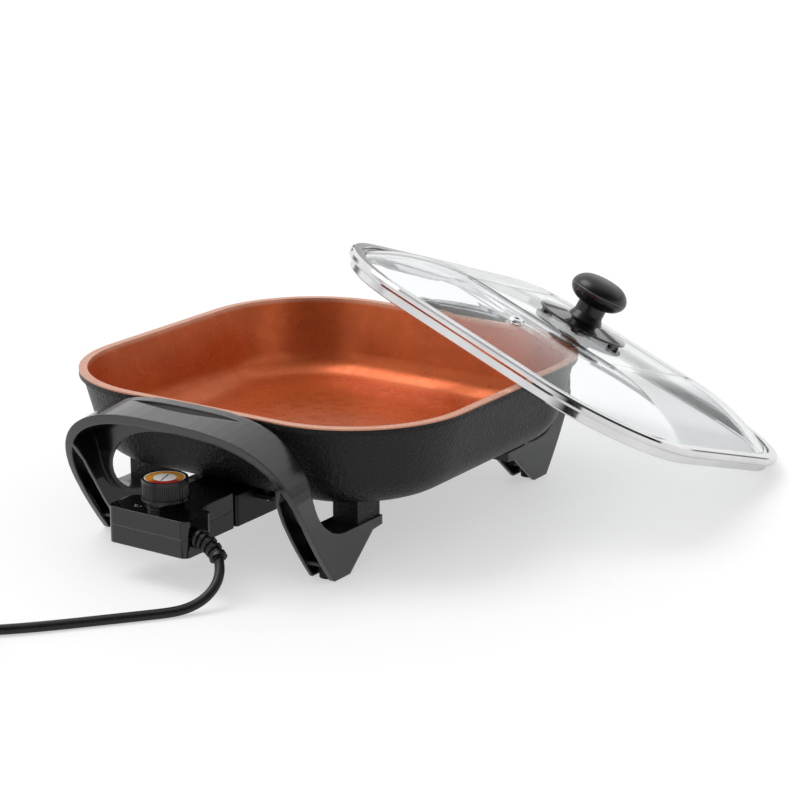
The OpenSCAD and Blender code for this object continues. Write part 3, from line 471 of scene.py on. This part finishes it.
def dial_scale(cool, hot, count, length):
    """The dial's print: a pale disc with a bar across it, in a ring from orange to red with its marks."""
    f = Finish("dial_scale_print", (0.86, 0.85, 0.82), 0.3)
    x, y = f.axes(f.placed(centre=(*DIAL_AXIS, 0.0)))[:2]
    radius = f.calc("SQRT", f.weigh(x, x, y, y))

    def turned(angle):
        """How far a point is along a direction from the axis, and across it."""
        c, s = math.cos(angle), math.sin(angle)
        return f.weigh(x, c, y, s), f.weigh(x, -s, y, c)

    def within(value, limit):
        return f.spread(value, low=1.0, high=0.0, start=limit - PRINT_BLUR, end=limit + PRINT_BLUR)

    def between(value, least, most):
        past = f.spread(value, low=0.0, high=1.0, start=least - PRINT_BLUR, end=least + PRINT_BLUR)
        return f.calc("MULTIPLY", past, within(value, most))

    speck = f.noise(0.0004, detail=3.0, rough=0.6)
    disc = f.blend(f.spread(speck, low=0, high=1), (0.80, 0.79, 0.76), (0.88, 0.87, 0.84))

    # the ring cools with the angle from its hottest place, in radians
    along, across = turned(RING_HOTTEST)
    off_hottest = f.calc("ABSOLUTE", f.calc("ARCTAN2", across, along))
    ring = f.blend(f.spread(off_hottest, low=1.0, high=0.0, start=0.75, end=1.35), cool, hot)
    colour = f.blend(between(radius, *RING), disc, ring)

    # the marks' places and widths, counted in steps from one mark to the next
    step = f.calc("MULTIPLY", f.calc("ARCTAN2", y, x), count / (2 * math.pi))
    off_mark = f.calc("ABSOLUTE", f.calc("SUBTRACT", f.calc("FRACT", step), 0.5))
    half = MARK_HALF_WIDTH * count / (2 * math.pi * MARK_MIDDLE)
    on_mark = f.spread(off_mark, low=1.0, high=0.0, start=half * 0.8, end=half * 1.2)
    mark = f.calc("MULTIPLY", on_mark, between(radius, MARK_END - length, MARK_END))
    colour = f.blend(mark, colour, (0.04, 0.02, 0.015))
    colour = f.blend(between(radius, *RING_LINE), colour, (0.05, 0.04, 0.04))

    along, across = (f.calc("ABSOLUTE", far) for far in turned(BAR_AT))
    bar = f.calc("MULTIPLY", within(across, BAR_HALF_WIDTH), within(along, BAR_REACH))
    f.paint(f.blend(bar, colour, (0.02, 0.02, 0.02)))
    f.dull(speck, low=0.24, high=0.36)
    f.relief((speck, 0.000004))
    f.set(Coat_Weight=0.3, Coat_Roughness=0.1)
    return f.made


def woven_strap():
    """Black woven tape, its ribs lying one above the other."""
    f = Finish("woven_strap", (0.02, 0.02, 0.021), 0.85)
    ribs = f.add("ShaderNodeTexWave", Vector=f.coords, Scale=260.0, Distortion=1.5)
    ribs.wave_type = "BANDS"
    ribs.bands_direction = "Z"
    rib = ribs.outputs["Fac"]
    fuzz = f.noise(0.0005, detail=3.0)
    f.tone(rib, darker=0.6, lighter=1.8, start=0.0, end=1.0)
    f.dull(fuzz, low=0.78, high=0.95)
    f.relief((rib, 0.0001), (fuzz, 0.00003))
    f.set(Sheen_Weight=0.3, Sheen_Roughness=0.4)
    return f.made


def pale_table():
    """A pale top that looks white behind the skillet, and takes its shadow."""
    f = Finish("pale_table", (0.5, 0.5, 0.5), 0.6)
    f.set(Specular_IOR_Level=0.2)
    f.tone(f.noise(0.5, detail=2.0), darker=0.995, lighter=1.005)
    ray = f.add("ShaderNodeLightPath").outputs
    # it glows where it is seen, by itself or through glass, and less where a gloss reflects it
    seen = f.calc("MAXIMUM", ray["Is Camera Ray"], ray["Is Transmission Ray"])
    reflected = f.calc("MULTIPLY", ray["Is Glossy Ray"], 0.35)
    strength = f.calc("MAXIMUM", f.calc("MULTIPLY", seen, 0.5), reflected)
    glow = f.add("ShaderNodeEmission", Color=WHITE, Strength=strength)
    both = f.add("ShaderNodeAddShader")
    f.feed(both.inputs[0], f.shader.outputs["BSDF"])
    f.feed(both.inputs[1], glow.outputs["Emission"])
    f.fill(f.out, Surface=both.outputs["Shader"])
    return f.made


# ---------------------------------------------------------------- objects


def dress(made, *nodes):
    """Gives CAD nodes their finish."""
    for name in nodes:
        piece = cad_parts[name]
        while len(piece.material_slots) > 1:
            piece.data.materials.pop()
        if not piece.material_slots:
            piece.data.materials.append(made)
        for entry in piece.material_slots:
            entry.material = made


def make_object(name, draw, finish):
    """An object whose mesh is what a function draws in a bmesh, in place."""
    bm = bmesh.new()
    draw(bm)
    mesh = bpy.data.meshes.new(name)
    bm.to_mesh(mesh)
    bm.free()
    mesh.materials.append(finish)
    made = bpy.data.objects.new(name, mesh)
    bpy.context.scene.collection.objects.link(made)
    return made


# ---------------------------------------------------------------- cord


def smooth_route(points, steps):
    """Points on one smooth curve along the given ones, which it rounds off a little."""
    p = [Vector(q) for q in points]
    line = []
    for i in range(len(p) - 1):
        a = p[i - 1] if i else 2 * p[0] - p[1]
        b, c = p[i], p[i + 1]
        d = p[i + 2] if i < len(p) - 2 else 2 * p[-1] - p[-2]
        for k in range(steps):
            t = k / steps
            line.append(
                0.5 * (2 * b + (c - a) * t + (2 * a - 5 * b + 4 * c - d) * t * t
                       + (3 * b - a - 3 * c + d) * t ** 3)
            )
    line.append(p[-1])
    for _ in range(ROUTE_PASSES):
        line[1:-1] = [(a + 2 * b + c) / 4 for a, b, c in zip(line, line[1:], line[2:])]
    return line


def coil_reach(turn):
    """The coil's radius after some of its turns: in to its middle turn, and out again."""
    least = COIL_MIDDLE - COIL_PITCH * COIL_LAYER / 2 - COIL_PITCH / 4
    return least + COIL_PITCH * abs(turn - COIL_TURNS / 2)


def coil_point(turn):
    """The coil's centreline after some of its turns, with its height above the floor."""
    reach, angle = coil_reach(turn), COIL_LEAD + 2 * math.pi * turn
    height = COIL_LIFT + COIL_PITCH * min(1, max(0, (turn - COIL_LAYER) / COIL_CLIMB))
    x, y = COIL_CENTRE
    return Vector((x + reach * math.cos(angle), y + reach * math.sin(angle), height))


def cord_line(diameter):
    """The cord's centreline from the strain relief to the plug."""
    coil = [coil_point(i / COIL_STEPS) for i in range(int(COIL_TURNS * COIL_STEPS) + 1)]
    into = Vector((-math.sin(COIL_LEAD), math.cos(COIL_LEAD), 0))
    leave = COIL_LEAD + 2 * math.pi * COIL_TURNS + math.pi / 2
    start = coil[0] - diameter * into
    line = smooth_route([*ROUTE, start - LEAD_RUN * into, start], ROUTE_STEPS)
    end = coil[-1] + PLUG_RUN * Vector((math.cos(leave), math.sin(leave), 0))
    return [q + Vector((0, 0, FLOOR)) for q in [*line, *coil, end]]


def coil_strap(cord_diameter, width):
    """A flat strap wound once round the coil's turns."""
    cord_radius = cord_diameter / 2
    inner = coil_reach(COIL_TURNS / 2) - cord_radius - STRAP_INSIDE
    outer = coil_reach(0) + cord_radius + STRAP_OUTSIDE
    top = COIL_LIFT + COIL_PITCH + cord_radius + STRAP_ABOVE
    middle, half_across = (inner + outer) / 2, (outer - inner) / 2
    mid_height, half_up = (top + STRAP_FOOT) / 2, (top - STRAP_FOOT) / 2
    place = Matrix.Translation((*COIL_CENTRE, FLOOR)) @ Matrix.Rotation(STRAP_AT, 4, "Z")

    def draw(bm):
        # an open tube as long as the strap is wide, pulled square and laid down
        bmesh.ops.create_cone(bm, segments=48, radius1=1.0, radius2=1.0, depth=width, cap_ends=False)
        for v in bm.verts:
            angle = math.atan2(v.co.y, v.co.x)
            c, s = math.cos(angle), math.sin(angle)
            pull = (abs(c) ** STRAP_SQUARENESS + abs(s) ** STRAP_SQUARENESS) ** (-1 / STRAP_SQUARENESS)
            across, up = half_across * pull * c, half_up * pull * s
            v.co = Vector((middle + across, v.co.z, mid_height + up))
        bmesh.ops.recalc_face_normals(bm, faces=bm.faces)
        bmesh.ops.transform(bm, matrix=place, verts=bm.verts)

    strap = make_object("coil_strap", draw, woven_strap())
    strap.data.polygons.foreach_set("use_smooth", [True] * len(strap.data.polygons))
    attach(strap, "heat_control")
    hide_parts("coil_tie")
    wall = strap.modifiers.new("wall", "SOLIDIFY")
    wall.thickness = STRAP_WALL
    wall.offset = 0.0
    return strap


class SKILLET_OT_power_cord(bpy.types.Operator):
    """Power cord with its coil, its tie, its strain relief and its plug"""

    bl_idname = "skillet.power_cord"
    bl_label = "Power cord"

    def execute(self, context):
        sizes = context.scene.skillet_sizes
        colours = context.scene.skillet_finishes
        jacket = cord_jacket("cord_jacket", tuple(colours.cord))
        line = cord_line(sizes.cord_diameter)
        curve = bpy.data.curves.new("power_cord_lead", "CURVE")
        curve.dimensions = "3D"
        curve.bevel_depth = sizes.cord_diameter / 2
        curve.bevel_resolution = 5
        curve.use_fill_caps = True
        spline = curve.splines.new("POLY")
        spline.points.add(len(line) - 1)
        for at, q in zip(spline.points, line):
            at.co = (*q, 1.0)
        spline.use_smooth = True
        lead = bpy.data.objects.new("power_cord_lead", curve)
        context.scene.collection.objects.link(lead)
        curve.materials.append(jacket)
        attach(lead, "heat_control")
        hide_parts("power_cord", "cord_coil")
        strap = coil_strap(sizes.cord_diameter, sizes.tie_width)
        dress(jacket, "strain_relief", "plug_body")
        dress(bright_metal("plug_brass", (0.75, 0.58, 0.28), low=0.2, high=0.35), "plug_blades")
        return {"FINISHED"}


# ---------------------------------------------------------------- pieces


class SKILLET_OT_pan(bpy.types.Operator):
    """Pan with its coating and its copper lining"""

    bl_idname = "skillet.pan"
    bl_label = "Pan"

    def execute(self, context):
        sizes = context.scene.skillet_sizes
        colours = context.scene.skillet_finishes
        dress(wrinkled_coating(tuple(colours.coating), sizes.coating_grain), "pan_body")
        dress(copper_ceramic(tuple(colours.copper)), "nonstick_lining")
        return {"FINISHED"}


class SKILLET_OT_handles(bpy.types.Operator):
    """Handles with the pads under their legs, and all that shares the screws' steel or the pads' rubber"""

    bl_idname = "skillet.handles"
    bl_label = "Handles and screws"

    def execute(self, context):
        colours = context.scene.skillet_finishes
        dress(handle_moulding(tuple(colours.moulding)), "near_handle", "far_handle")
        steel = bright_metal("screw_steel", (0.60, 0.60, 0.61), low=0.22, high=0.38)
        dress(steel, "handle_screws", "shroud_screws", "housing_screws", "knob_screw", "dial_shaft")
        dress(matt_rubber((0.02, 0.02, 0.02)), "foot_pads", "knob_washer")
        return {"FINISHED"}


class SKILLET_OT_element(bpy.types.Operator):
    """Heating element, its pins, the socket that they stand in, and the probe"""

    bl_idname = "skillet.element"
    bl_label = "Heating element"

    def execute(self, context):
        colours = context.scene.skillet_finishes
        dress(sheathed_tube((0.2, 0.2, 0.2)), "heating_element")
        pins = bright_metal(
            "pin_steel", (0.66, 0.65, 0.63), low=0.16, high=0.3, brushed=(6, 1, 1), size=0.002,
        )
        dress(pins, "terminal_pins", "probe_rod")
        dress(white_insulator((0.78, 0.74, 0.66)), "pin_insulators")
        shroud = satin_moulding("socket_moulding", tuple(colours.moulding), low=0.3, high=0.42)
        dress(shroud, "socket_shroud")
        return {"FINISHED"}


class SKILLET_OT_heat_control(bpy.types.Operator):
    """Housing of the heat control with the works inside it"""

    bl_idname = "skillet.heat_control"
    bl_label = "Heat control"

    def execute(self, context):
        colours = context.scene.skillet_finishes
        dress(glossy_moulding(tuple(colours.housing)), "control_housing_top", "control_housing_bottom")
        brass = bright_metal("contact_brass", (0.75, 0.55, 0.25), low=0.2, high=0.36)
        dress(brass, "terminal_sleeves", "bimetal_blade")
        plated = bright_metal("plated_steel", (0.62, 0.62, 0.64), low=0.25, high=0.4)
        dress(plated, "thermostat_frame", "contact_rivets")
        dress(clear_glass("lamp_glass", (0.98, 0.6, 0.35)), "indicator_lamp")
        dress(clear_glass("lens_clear", (0.9, 0.88, 0.85), rough=0.08), "lamp_lens")
        return {"FINISHED"}


class SKILLET_OT_dial(bpy.types.Operator):
    """Temperature dial with its printed scale"""

    bl_idname = "skillet.dial"
    bl_label = "Temperature dial"

    def execute(self, context):
        sizes = context.scene.skillet_sizes
        colours = context.scene.skillet_finishes
        grip = satin_moulding("dial_moulding", (0.006, 0.006, 0.0065), low=0.24, high=0.36)
        dress(grip, "temperature_dial")
        cool, hot = tuple(colours.scale_cool), tuple(colours.scale_hot)
        dress(dial_scale(cool, hot, sizes.mark_count, sizes.mark_length), "dial_face")
        return {"FINISHED"}


class SKILLET_OT_lid(bpy.types.Operator):
    """Glass lid with its steel band, vent and knob"""

    bl_idname = "skillet.lid"
    bl_label = "Lid"

    def execute(self, context):
        colours = context.scene.skillet_finishes
        dress(clear_glass("lid_glass_clear", tuple(colours.glass)), "lid_glass")
        dress(polished_steel(tuple(colours.steel)), "lid_band", "vent_grommet")
        dress(glossy_moulding(tuple(colours.housing)), "knob_base")
        dress(knob_moulding((0.006, 0.006, 0.0065)), "lid_knob")
        return {"FINISHED"}


# ---------------------------------------------------------------- stage


class SKILLET_OT_stage(bpy.types.Operator):
    """Camera, floor, lamp and backdrop"""

    bl_idname = "skillet.stage"
    bl_label = "Stage"

    def execute(self, context):
        scene = context.scene
        scene.view_settings.view_transform = "Standard"
        self.camera(scene)
        self.floor()
        self.lamp(scene)
        self.backdrop(scene)
        return {"FINISHED"}

    def camera(self, scene):
        data = bpy.data.cameras.new("viewpoint")
        data.sensor_width = SENSOR_WIDTH
        data.lens = SENSOR_WIDTH * VIEW_FOCUS / VIEW_WIDTH
        data.clip_start, data.clip_end = 0.05, 100.0
        eye = bpy.data.objects.new("viewpoint", data)
        level = math.cos(VIEW_RISE)
        back = Vector((math.sin(VIEW_ROUND) * level, -math.cos(VIEW_ROUND) * level, math.sin(VIEW_RISE)))
        eye.location = Vector(VIEW_CENTRE) + VIEW_DISTANCE * back
        eye.rotation_mode = "QUATERNION"
        eye.rotation_quaternion = (-back).to_track_quat("-Z", "Y")
        scene.collection.objects.link(eye)
        scene.camera = eye

    def floor(self):
        def draw(bm):
            bmesh.ops.create_grid(bm, x_segments=1, y_segments=1, size=14.0)
            bmesh.ops.translate(bm, vec=(0, 0, FLOOR), verts=bm.verts)

        make_object("table_top", draw, pale_table())

    def lamp(self, scene):
        """One broad lamp, high up."""
        data = bpy.data.lights.new("key_lamp", "SUN")
        data.energy = 1.15
        data.angle = math.radians(38)
        key = bpy.data.objects.new("key_lamp", data)
        shines_from = Vector((-0.25, 0.75, 1.5)).normalized()
        key.rotation_mode = "QUATERNION"
        key.rotation_quaternion = shines_from.to_track_quat("Z", "Y")
        scene.collection.objects.link(key)

    def backdrop(self, scene):
        """A white backdrop that lights softly, and what gloss reflects in its place."""
        world = bpy.data.worlds.new("studio")
        scene.world = world
        world.use_nodes = True
        sky = Nodes(world.node_tree)
        at = sky.add("ShaderNodeTexCoord").outputs["Generated"]
        ray = sky.add("ShaderNodeLightPath").outputs

        def glow(strength):
            return sky.add("ShaderNodeBackground", Color=WHITE, Strength=strength).outputs["Background"]

        def towards(direction):
            """How near a place in the sky is to a direction."""
            node = sky.add("ShaderNodeVectorMath")
            node.operation = "DOT_PRODUCT"
            sky.feed(node.inputs[0], at)
            sky.feed(node.inputs[1], direction)
            return node.outputs["Value"]

        def pick(kind, one, other):
            """One light, but another for a kind of ray."""
            node = sky.add("ShaderNodeMixShader")
            for socket, value in zip(node.inputs, (ray[kind], one, other)):
                sky.feed(socket, value)
            return node.outputs["Shader"]

        # what gloss reflects: white above and behind, darker towards the front
        level = sky.spread(towards((0.77, 0.57, 0.3)), low=0.05, high=1.0, start=-0.35, end=0.42)
        # a dark strip low down all round, which polished edges pick up
        off_strip = sky.calc("ABSOLUTE", sky.calc("SUBTRACT", sky.axes(at)[2], 0.1))
        strip = sky.spread(off_strip, low=0.25, high=1.0, start=0.03, end=0.08)
        # a soft panel at the side, which the lid's band picks up
        panel = sky.spread(towards((-0.84, 0.48, 0.25)), low=0.0, high=0.85, start=0.8, end=0.96)
        shine = glow(sky.calc("MAXIMUM", sky.calc("MULTIPLY", level, strip), panel))

        soft, white = glow(0.72), glow(1.0)
        reflected = pick("Is Glossy Ray", soft, shine)
        through = pick("Is Transmission Ray", reflected, white)
        sky.add("ShaderNodeOutputWorld", Surface=pick("Is Camera Ray", through, white))


class SKILLET_PT_pieces(bpy.types.Panel):
    """Lists the skillet's settings and pieces"""

    bl_label = "Electric skillet"
    bl_idname = "SKILLET_PT_pieces"
    bl_space_type = "VIEW_3D"
    bl_region_type = "UI"
    bl_category = "Skillet"

    def draw(self, context):
        for heading, group in (
            ("Sizes", context.scene.skillet_sizes),
            ("Finishes", context.scene.skillet_finishes),
        ):
            box = self.layout.box()
            box.label(text=heading)
            for name in group.__annotations__:
                box.prop(group, name)
        for step in STEPS:
            self.layout.operator(step.bl_idname)


STEPS = (
    SKILLET_OT_stage,
    SKILLET_OT_power_cord,
    SKILLET_OT_pan,
    SKILLET_OT_handles,
    SKILLET_OT_element,
    SKILLET_OT_heat_control,
    SKILLET_OT_dial,
    SKILLET_OT_lid,
)
CLASSES = (SkilletSizes, SkilletFinishes, *STEPS, SKILLET_PT_pieces)


def register():
    for cls in CLASSES:
        bpy.utils.register_class(cls)
    bpy.types.Scene.skillet_sizes = PointerProperty(type=SkilletSizes)
    bpy.types.Scene.skillet_finishes = PointerProperty(type=SkilletFinishes)


def unregister():
    del bpy.types.Scene.skillet_finishes
    del bpy.types.Scene.skillet_sizes
    for cls in reversed(CLASSES):
        bpy.utils.unregister_class(cls)


def main():
    register()
    for step in STEPS:
        group, name = step.bl_idname.split(".")
        getattr(getattr(bpy.ops, group), name)()


if __name__ == "__main__":
    main()
